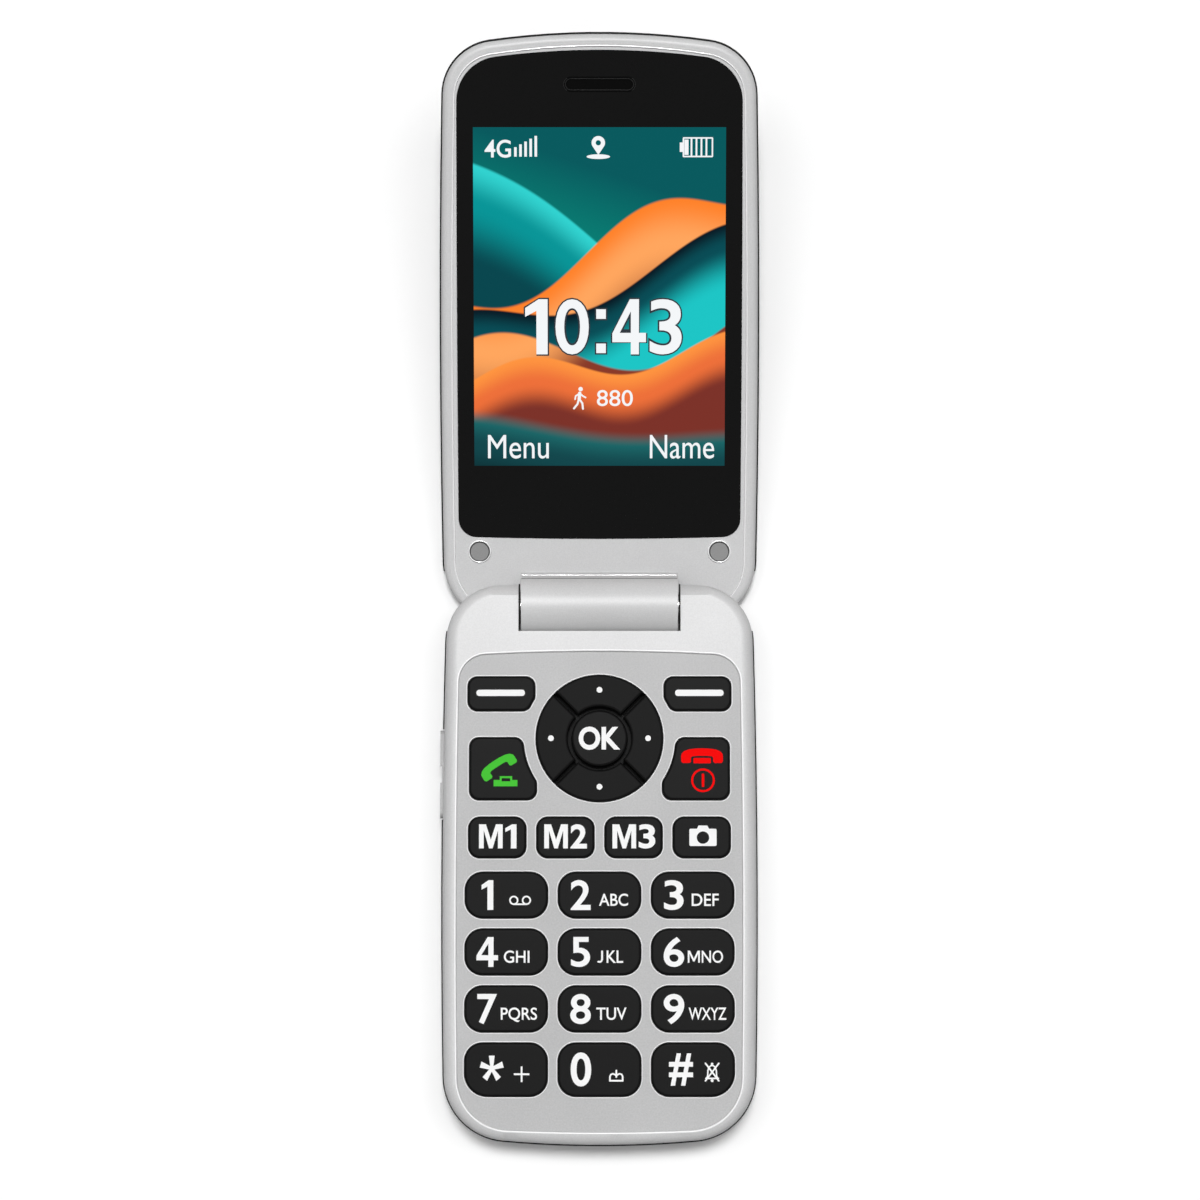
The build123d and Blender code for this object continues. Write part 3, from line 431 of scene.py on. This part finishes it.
def handset(width, height):
    """A telephone handset lying across with its ends down, centred on the origin."""
    side = [(0, 1.0), (0.33, 0.97), (0.66, 0.84), (0.87, 0.60), (0.98, 0.26), (1.0, -0.1), (1.0, -0.75),
            (0.93, -1.0), (0.60, -1.0), (0.53, -0.8), (0.53, -0.24), (0.46, -0.08), (0.25, -0.03)]
    half = [(x * width / 2, y * height / 2) for x, y in side]
    return half + [(-x, y) for x, y in half[::-1] if x > 0]


lifted = turned(handset(38.5, 13.5), 33, -5.0, 2.4)
cradle = [(-9.3, -17.7), (14.5, -17.7), (14.5, -11.4), (9.2, -11.4), (9.2, -7.6), (-3.2, -7.6), (-3.2, -11.4),
          (-9.3, -11.4)]
key_icon("key_call", "handset", [[lifted], [cradle, box_outline(3.0, -11.2, 8.6, 3.2)]], 0, 0, print_green)
laid_down = turned(handset(41.8, 14.8), 0, 6.1, 12.9)
power_ring = [arc(7.0, -11.7, 11.9), arc(7.0, -11.7, 9.8)]
key_icon("key_end", "handset", [[laid_down], [box_outline(6.2, 8.0, 17.4, 5.4, 0.8)], power_ring,
                                [box_outline(7.0, -11.7, 2.5, 13.3, 0.6)]], 0, 0, print_red)

ok_low, ok_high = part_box("nav_ok")
hub = (ok_low + ok_high) / 2
for arm, i, j in (("nav_up", 0, 1), ("nav_down", 0, -1), ("nav_left", -1, 0), ("nav_right", 1, 0)):
    dot = flat([arc(0, 0, 2.9 * PX)])
    print_on(arm, "dot", dot, hub.x + i * NAV_REACH, hub.y + j * NAV_REACH, print_white)


# ---- display, laid out in millimetres in the lid's frame ----
PICTURE = (-21.6, 23.85, 21.6, 82.0)  # left, bottom, right and top of the lit picture
CLOCK_Y, CLOCK_HEIGHT = 47.9, 9.5
FOUR_WIDTH = 5.79
COLON_HEIGHTS, COLON_DOT = (2.19, -3.71), 1.65  # of its dots above the clock's middle, and their size
glass_top = lid_box("screen_window")[1].z


def picture_finish():
    """A made-up wallpaper of soft waves, lit from behind."""
    material = finish("lit_picture", rgb(0.002), rgb(0.003), 0.06, rough_spread=0.01, bump=0.0003,
                      specular=0.01)
    tree = material.node_tree
    shader = tree.nodes["Principled BSDF"]
    place = add(tree, "ShaderNodeTexCoord").outputs["Object"]
    axes = add(tree, "ShaderNodeSeparateXYZ", {0: place})
    left, bottom, right, top = (edge * MM for edge in PICTURE)
    u = add(tree, "ShaderNodeMapRange", {0: axes.outputs[0], 1: left, 2: right}).outputs[0]
    v = add(tree, "ShaderNodeMapRange", {0: axes.outputs[1], 1: bottom, 2: top}).outputs[0]

    def depth(level, slope, *waves):
        """How far a point lies under a wavy line.

        Each wave is its height, its turns and its start in turns."""
        line = maths(tree, "MULTIPLY", u, slope)
        line = maths(tree, "ADD", line, level)
        for height, turns, start in waves:
            turn = maths(tree, "ADD", maths(tree, "MULTIPLY", u, turns), start)
            wave = maths(tree, "SINE", maths(tree, "MULTIPLY", turn, math.tau))
            line = maths(tree, "ADD", line, maths(tree, "MULTIPLY", wave, height))
        return maths(tree, "SUBTRACT", line, v)

    def eased(value, reach, first, last):
        """Turns smoothly from first to last while the value goes from 0 to reach."""
        return add(tree, "ShaderNodeMapRange", {0: value, 1: 0.0, 2: reach, 3: first, 4: last},
                   interpolation_type="SMOOTHSTEP").outputs[0]

    def layer(below, under, softness, reach, stops, floor=None):
        """Paints the colours of stops, by depth, where under is positive and floor isn't, if there is one."""
        mask = eased(under, softness, 0.0, 1.0)
        if floor is not None:
            mask = maths(tree, "MULTIPLY", mask, eased(floor, 0.01, 1.0, 0.0))
        shade = add(tree, "ShaderNodeMapRange", {0: under, 1: 0.0, 2: reach}).outputs[0]
        colour = ramp(tree, shade, stops, "EASE")
        return add(tree, "ShaderNodeMix", {0: mask, 6: below, 7: colour}, data_type="RGBA").outputs[2]

    sky = ramp(tree, maths(tree, "ADD", v, maths(tree, "MULTIPLY", u, 0.25)),
               [(0.35, (0.0, 0.46, 0.41, 1)), (0.75, (0.0, 0.22, 0.18, 1)), (1.0, (0.0, 0.10, 0.11, 1))])
    colour = layer(sky, depth(0.87, -0.45, (0.05, 0.7, 0.1)), 0.012, 0.30,
                   [(0.0, (0.03, 0.66, 0.64, 1)), (0.4, (0.0, 0.30, 0.31, 1)), (1.0, (0.0, 0.06, 0.075, 1))])
    colour = layer(colour, depth(0.50, 0.30, (0.07, 1.0, 0.55)), 0.01, 0.34,
                   [(0.0, (1.0, 0.22, 0.02, 1)), (0.4, (1.0, 0.38, 0.11, 1)), (1.0, (0.25, 0.04, 0.02, 1))])
    colour = layer(colour, depth(0.42, 0.24, (0.06, 0.9, 0.35)), 0.008, 0.2,
                   [(0.0, (0.0, 0.006, 0.014, 1)), (0.35, (0.0, 0.07, 0.09, 1)),
                    (1.0, (0.01, 0.56, 0.56, 1))],
                   depth(0.30, 0.12, (0.09, 0.8, 0.2)))
    colour = layer(colour, depth(0.26, 0.10, (0.045, 1.2, 0.0)), 0.008, 0.16,
                   [(0.0, (1.0, 0.30, 0.05, 1)), (0.5, (0.85, 0.16, 0.04, 1)), (1.0, (0.20, 0.03, 0.02, 1))])
    colour = layer(colour, depth(0.155, -0.05, (0.02, 0.8, 0.3)), 0.05, 0.22,
                   [(0.0, (0.012, 0.17, 0.17, 1)), (0.5, (0.004, 0.06, 0.07, 1)),
                    (1.0, (0.001, 0.015, 0.02, 1))])
    tree.links.new(colour, shader.inputs["Emission Color"])
    shader.inputs["Emission Strength"].default_value = 1.0
    return material


def on_display(name, mesh, x, y, material=lit_white, layer=2):
    """A flat piece on the window, its centre at x and y, in that layer above the glass."""
    height = glass_top + (layer - 0.5) * SKIN - LID_SINK
    place = lid_matrix @ Matrix.Translation((x * MM, y * MM, height))
    keep_mesh("display_" + name, mesh, material, "lid", place)


def display_words(name, words, x, y, width, height, weight):
    on_display(name, letters(words, width * MM, height * MM, weight), x, y)


left, bottom, right, top = PICTURE
picture = flat([box_outline((left + right) / 2, (bottom + top) / 2, right - left, top - bottom)])
on_display("picture", picture, 0, 0, picture_finish(), 1)

hole = glyph(FOUR_HOLE, FOUR_WIDTH, CLOCK_HEIGHT)
hole_x, hole_y = sum(x for x, y in hole) / 3, sum(y for x, y in hole) / 3
clock_layers = (("outline", 0.5, 0.035, lit_shadow, 2), ("face", 0, 0.012, lit_white, 3))
for name, grow, weight, material, layer in clock_layers:
    tall, dot = CLOCK_HEIGHT + grow, COLON_DOT + grow
    opening = [(hole_x + (x - hole_x) * (1 - grow), hole_y + (y - hole_y) * (1 - grow)) for x, y in hole]
    clock = (
        ("one", -10.84, flat([glyph(ONE, 3.86 + grow, tall)])),
        ("zero", -4.7, letters("0", (5.73 + grow) * MM, tall * MM, weight)),
        ("colon", 0.27, flat(*([box_outline(0, y, dot, dot)] for y in COLON_HEIGHTS))),
        ("four", 5.1, flat([glyph(FOUR, FOUR_WIDTH + grow, tall), opening])),
        ("three", 11.38, letters("3", (5.5 + grow) * MM, tall * MM, weight)),
    )
    for digit, x, mesh in clock:
        on_display("clock_" + digit + "_" + name, mesh, x, CLOCK_Y, material, layer)
display_words("steps", "880", 2.65, 35.6, 6.2, 2.8, 0.004)
display_words("left_label", "Menu", -14.0, 27.15, 10.5, 4.1, 0.0)
display_words("right_label", "Name", 14.25, 27.15, 11.1, 4.1, 0.0)
display_words("network", "4G", -17.36, 78.35, 4.5, 3.05, 0.012)
bars = [[box_outline(index * 0.87, (1.6 + 0.48 * index) / 2, 0.44, 1.6 + 0.48 * index)] for index in range(5)]
on_display("signal", flat(*bars), -14.35, 77.0)
cell = [[box_outline(0, 0, 5.2, 3.4, 0.2), box_outline(0, 0, 4.7, 2.9)], [box_outline(-2.85, 0, 0.5, 1.6)],
        [box_outline(-1.95, 0, 0.7, 2.6)]]
cell += [[box_outline(-1.1 + 0.85 * index, 0, 0.3, 2.9)] for index in range(4)]
on_display("battery_level", flat(*cell), 16.8, 78.6)
pin = arc(0, 0.75, 1.15, -28, 208) + [(0, -1.3)]
on_display("place", flat([pin, arc(0, 0.75, 0.45)], [arc(0, -1.6, 2.0, squash=0.2)]), -0.2, 78.6)
limbs = (  # the walker's body, arms and legs, each with its width
    ([(0.0, 0.95), (-0.1, -0.1)], 0.55), ([(0.0, 0.9), (0.55, 0.45), (1.0, 0.2)], 0.28),
    ([(-0.1, 0.85), (-0.7, 0.45), (-0.8, -0.1)], 0.28), ([(-0.05, -0.1), (0.45, -0.8), (0.55, -1.75)], 0.34),
    ([(-0.15, -0.1), (-0.4, -0.95), (-1.0, -1.7)], 0.34),
)
walker = [[arc(0.15, 1.65, 0.38)]] + [[stroke(points, width)] for points, width in limbs]
on_display("walker", flat(*walker), -3.4, 35.5)


# ---- beads, rings and seams along the solids' edges: painted highlights and painted shade lines ----
SHARP = 50.0  # degrees between the faces of an edge that can carry a bead
FEWEST_POINTS = 4  # of a run; a shorter one is a stray edge
PLATE_MARGIN = 0.8 * MM
NOTCH_HALF = 14.5 * MM  # a little over half the width of the notch for the barrel
HINGE_REACH = 8 * MM  # how far from the hinge's axis the seams stop
ROCKER_GAP = 0.8 * MM
PORT_HALF = 5.5 * MM  # a little over half the width of the port's opening
BUMPER_STAND = 0.4 * MM  # how far the bumpers stand out of the lid's face
RING_SINK = 0.12 * MM
EARPIECE_RING = 0.2 * MM
BARREL = 5.6 * MM
BARREL_HALF = 13.4 * MM
LEDGE_BEAD = 0.10
BASE_PARTING = 5.5 * MM  # where the two housings of each half meet
LID_PARTING = -7.6 * MM


def edge_runs(node, test, matrix=Matrix()):
    """The runs of sharp edges of a node that pass the test.

    Each run is a pair: its points, and whether it closes."""
    form = bmesh.new()
    form.from_mesh(nodes[node].data)
    bmesh.ops.remove_doubles(form, verts=form.verts, dist=0.0005 * MM)
    form.transform(matrix)
    form.normal_update()
    chosen = [edge for edge in form.edges if len(edge.link_faces) == 2
              and math.degrees(edge.calc_face_angle(0.0)) > SHARP and test(edge)]
    neighbours = {}
    for edge in chosen:
        first, second = (vertex.index for vertex in edge.verts)
        neighbours.setdefault(first, []).append(second)
        neighbours.setdefault(second, []).append(first)
    form.verts.ensure_lookup_table()
    runs, used = [], set()
    for start in sorted(neighbours, key=lambda index: len(neighbours[index])):
        if start in used:
            continue
        run, here = [start], start
        used.add(start)
        while True:
            onward = [index for index in neighbours[here] if index not in used]
            if not onward:
                break
            here = onward[0]
            used.add(here)
            run.append(here)
        closed = len(run) > 2 and start in neighbours[here]
        if len(run) >= FEWEST_POINTS:
            runs.append(([form.verts[index].co.copy() for index in run], closed))
    form.free()
    return runs


def bead(name, runs, radius, material, body, matrix=Matrix(), lift=0.0):
    """Thin round beads along runs of points, raised by lift. Radius and lift are in millimetres."""
    data = bpy.data.curves.new(name, "CURVE")
    data.dimensions = "3D"
    data.bevel_depth = radius * MM
    data.bevel_resolution = 2
    for points, closed in runs:
        spline = data.splines.new("POLY")
        spline.points.add(len(points) - 1)
        for point, place in zip(spline.points, points):
            point.co = (place.x, place.y, place.z + lift * MM, 1)
        spline.use_cyclic_u = closed
    keep_mesh(name, baked(bpy.data.objects.new(name, data)), material, body, matrix)


def at_height(z, tolerance=0.01):
    """A test for edges at height z, to within a tolerance in millimetres."""
    return lambda edge: all(abs(vertex.co.z - z) < tolerance * MM for vertex in edge.verts)


plate_low, plate_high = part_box("keypad_plate")
housing_low, housing_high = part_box("base_front_housing")
rocker_low, rocker_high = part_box("volume_rocker")


def beside_plate(edge):
    """True for an edge of the housing's top that runs round the plate."""
    middle = (edge.verts[0].co + edge.verts[1].co) / 2
    across = abs(middle.x) < plate_high.x + PLATE_MARGIN
    along = plate_low.y - PLATE_MARGIN < middle.y < plate_high.y + PLATE_MARGIN
    return across and along and at_height(housing_high.z, 0.3)(edge)


def round_notch(edge):
    """True for an edge between the housing's top and the notch that holds the barrel."""
    low_rise, high_rise = sorted(face.normal.z for face in edge.link_faces)
    ends = [vertex.co for vertex in edge.verts]
    near = all(abs(end.x) < NOTCH_HALF and end.y > plate_high.y + PLATE_MARGIN for end in ends)
    return near and abs(low_rise) < 0.3 < high_rise


def over_port(edge):
    """True for an edge of the opening in the end wall, above the parting line."""
    ends = [vertex.co for vertex in edge.verts]
    in_wall = all(abs(end.x) < PORT_HALF and end.y < housing_low.y + 0.5 * MM for end in ends)
    heights = sorted(end.z - BASE_PARTING for end in ends)
    return in_wall and heights[0] > -0.01 * MM and heights[1] > 0.1 * MM


# Painted highlights: soft bright lines round the key openings and round the plate.
bead("key_opening_painted_highlights", edge_runs("keypad_plate", at_height(plate_high.z)), 0.13, painted_highlight_soft, "base",
     lift=-0.04)
bead("plate_border_painted_highlight", edge_runs("base_front_housing", beside_plate), 0.25, painted_highlight_soft, "base",
     lift=-0.22)
# Painted shade: dark lines in the gap round the barrel's notch and round the port.
bead("notch_painted_shade", edge_runs("base_front_housing", round_notch), 0.14, seam_and_shade_line, "base",
     lift=-0.06)
bead("port_painted_shade", edge_runs("base_front_housing", over_port), 0.30, seam_and_shade_line, "base")

bumper_low, bumper_high = lid_box("lid_bumpers")
bumper_radius = (bumper_high.y - bumper_low.y) / 2
bumper_y = (bumper_low.y + bumper_high.y) / 2
face_z = bumper_high.z - BUMPER_STAND
# Painted highlight: a bright line round the edge of the lid's face.
bead("lid_face_painted_highlight", edge_runs("lid_front_frame", at_height(face_z), lid_inverse), 0.12, painted_highlight, "lid",
     lid_matrix, -0.06)
# Round each bumper, a dark ring of painted shade in its gap and a bright ring of painted highlight.
for side, name in ((-1, "left"), (1, "right")):
    bumper_x = side * (bumper_high.x - bumper_radius)
    for kind, reach, thickness, material in (("gap", 0.05, 0.08, seam_and_shade_line), ("ring", 0.30, 0.17, painted_highlight)):
        ring = arc(bumper_x / MM, bumper_y / MM, bumper_radius / MM + reach, steps=48)
        points = [Vector((x * MM, y * MM, face_z - RING_SINK)) for x, y in ring]
        bead("bumper_" + kind + "_" + name, [(points, True)], thickness, material, "lid",
             lid_matrix)

# The ledge above the barrel: a painted highlight line and a painted shade line along it, at these angles from the
# lid's normal.
for name, angle, material in (("hinge_painted_highlight", 80.5, painted_highlight), ("hinge_painted_shade", 66.0, ledge_shade)):
    y, z = BARREL * math.sin(math.radians(angle)), BARREL * math.cos(math.radians(angle))
    points = [Vector((x * BARREL_HALF, y, z)) for x in (-1, -0.3, 0.3, 1)]
    bead(name, [(points, False)], LEDGE_BEAD, material, "lid", lid_matrix, -0.05)

ear_low, ear_high = lid_box("earpiece_mesh")
ear_y = (ear_low.y + ear_high.y) / 2
slot_reach = (ear_high.y - ear_low.y) / 2 - EARPIECE_RING


def round_slot(edge):
    """True for an edge round the earpiece's slot, inside its ring."""
    return at_height(ear_high.z)(edge) and all(abs(vertex.co.y - ear_y) < slot_reach for vertex in edge.verts)


# Painted shade: a dark line round the earpiece's slot.
bead("earpiece_painted_shade", edge_runs("earpiece_mesh", round_slot, lid_inverse), 0.05, slot_shade, "lid",
     lid_matrix, -0.02)


def beside_rocker(point):
    return point.x < 0 and rocker_low.y - ROCKER_GAP < point.y < rocker_high.y + ROCKER_GAP


def seam(name, node, z, body, matrix=Matrix(), inverse=Matrix()):
    """The parting line round the outside of a node, at height z in the matrix's frame, drawn as a dark line that
    also paints the shade along the outline.

    It leaves out the stretch at the hinge and the one beside the volume rocker."""
    depths = [(inverse @ vertex.co).y for vertex in nodes[node].data.vertices]
    middle_y = sum(depths) / len(depths)
    hinge_y = (inverse @ Vector(fold["pos_m"])).y

    def outside(edge):
        middle = (edge.verts[0].co + edge.verts[1].co) / 2
        walls = [face.normal for face in edge.link_faces if abs(face.normal.z) < 0.5]
        outward = any(normal.x * middle.x + normal.y * (middle.y - middle_y) > 0 for normal in walls)
        at_hinge = abs(middle.x) < NOTCH_HALF and abs(middle.y - hinge_y) < HINGE_REACH
        at_rocker = body == "base" and beside_rocker(middle)
        return at_height(z)(edge) and outward and not at_hinge and not at_rocker

    bead(name, edge_runs(node, outside, inverse), 0.35, seam_and_shade_line, body, matrix)


# The parting lines, drawn dark: the real joint plus painted shade along the outline.
seam("base_seam", "base_front_housing", BASE_PARTING, "base")
seam("lid_seam", "lid_front_frame", LID_PARTING, "lid", lid_matrix, lid_inverse)


# ---- floor, world and lights ----
FLOOR_HALF = 8.0
FLOOR_DROP = 0.1 * MM
FLOOR_LIGHT = 0.4  # how white the floor is for the light that it throws back at the phone
FLOOR_GLOW = 0.04
WORLD_LOW, WORLD_HIGH = 0.03, 0.40  # light from the horizon and from straight above


def shown_rays(tree):
    """1 for the rays of the camera and for those that gloss and glass send on, 0 for light on the object."""
    path = add(tree, "ShaderNodeLightPath")
    either = maths(tree, "MAXIMUM", path.outputs["Is Camera Ray"], path.outputs["Is Transmission Ray"])
    return maths(tree, "MAXIMUM", either, path.outputs["Is Glossy Ray"])


floor_mesh = bpy.data.meshes.new("floor")
corners = [(x, y, 0) for x, y in box_outline(0, 0, 2 * FLOOR_HALF, 2 * FLOOR_HALF)]
floor_mesh.from_pydata(corners, [], [(0, 1, 2, 3)])
floor = bpy.data.objects.new("floor", floor_mesh)
floor.location.z = -FLOOR_DROP
scene.collection.objects.link(floor)
floor_white = bpy.data.materials.new("floor_white")
floor_white.use_nodes = True
tree = floor_white.node_tree
shader = tree.nodes["Principled BSDF"]
dust = add(tree, "ShaderNodeTexNoise", {"Scale": 400.0, "Detail": 3.0})
white = ramp(tree, dust.outputs["Fac"], [(NOISE_LOW, rgb(0.985)), (NOISE_HIGH, rgb(1.0))])
shown = shown_rays(tree)
tint = add(tree, "ShaderNodeMix", {0: shown, 6: rgb(FLOOR_LIGHT), 7: white}, data_type="RGBA").outputs[2]
tree.links.new(tint, shader.inputs["Base Color"])
tree.links.new(maths(tree, "MULTIPLY", shown, FLOOR_GLOW), shader.inputs["Emission Strength"])
shader.inputs["Emission Color"].default_value = rgb(1.0)
shader.inputs["Roughness"].default_value = 0.9
shader.inputs["Specular IOR Level"].default_value = 0.0
floor_mesh.materials.append(floor_white)

world = bpy.data.worlds.new("studio")
world.use_nodes = True
tree = world.node_tree
plain = tree.nodes["Background"]
plain.inputs["Color"].default_value = rgb(1.0)
way = add(tree, "ShaderNodeTexCoord").outputs["Generated"]
height = add(tree, "ShaderNodeSeparateXYZ", {0: way}).outputs[2]
sky = add(tree, "ShaderNodeMapRange", {0: height, 1: 0.0, 2: 1.0, 3: WORLD_LOW, 4: WORLD_HIGH}).outputs[0]
tree.links.new(sky, plain.inputs["Strength"])
seen = add(tree, "ShaderNodeBackground", {"Color": rgb(1.0), "Strength": 1.0})
mixed = add(tree, "ShaderNodeMixShader", {0: shown_rays(tree), 1: plain.outputs[0], 2: seen.outputs[0]})
tree.links.new(mixed.outputs[0], tree.nodes["World Output"].inputs["Surface"])
scene.world = world


def sun(name, azimuth, elevation, strength, spread):
    """A wide, far light. Azimuth is where it comes from, from +X towards +Y. All its angles are in degrees."""
    data = bpy.data.lights.new(name, "SUN")
    data.energy = strength
    data.angle = math.radians(spread)
    lamp = bpy.data.objects.new(name, data)
    a, e = math.radians(azimuth), math.radians(elevation)
    towards = Vector((math.cos(a) * math.cos(e), math.sin(a) * math.cos(e), math.sin(e)))
    lamp.rotation_euler = towards.to_track_quat("Z", "Y").to_euler()
    scene.collection.objects.link(lamp)


sun("light_back", azimuth=90, elevation=77, strength=1.75, spread=13)
sun("light_left", azimuth=145, elevation=66, strength=0.32, spread=22)
sun("light_right", azimuth=35, elevation=66, strength=0.32, spread=22)


# ---- camera ----
VIEW_ANGLE = 16.901  # degrees across the picture
CAMERA_RISE = 84  # degrees of the camera above the table
camera_data = bpy.data.cameras.new("camera")
camera_data.angle = math.radians(VIEW_ANGLE)
camera_data.clip_start = 0.05
camera_data.clip_end = 50
camera = bpy.data.objects.new("camera", camera_data)
camera.location = (0.00009, -0.02766, 0.70096)
camera.rotation_euler = (math.radians(90 - CAMERA_RISE), 0, 0)
scene.collection.objects.link(camera)
scene.camera = camera
scene.view_settings.view_transform = "Standard"
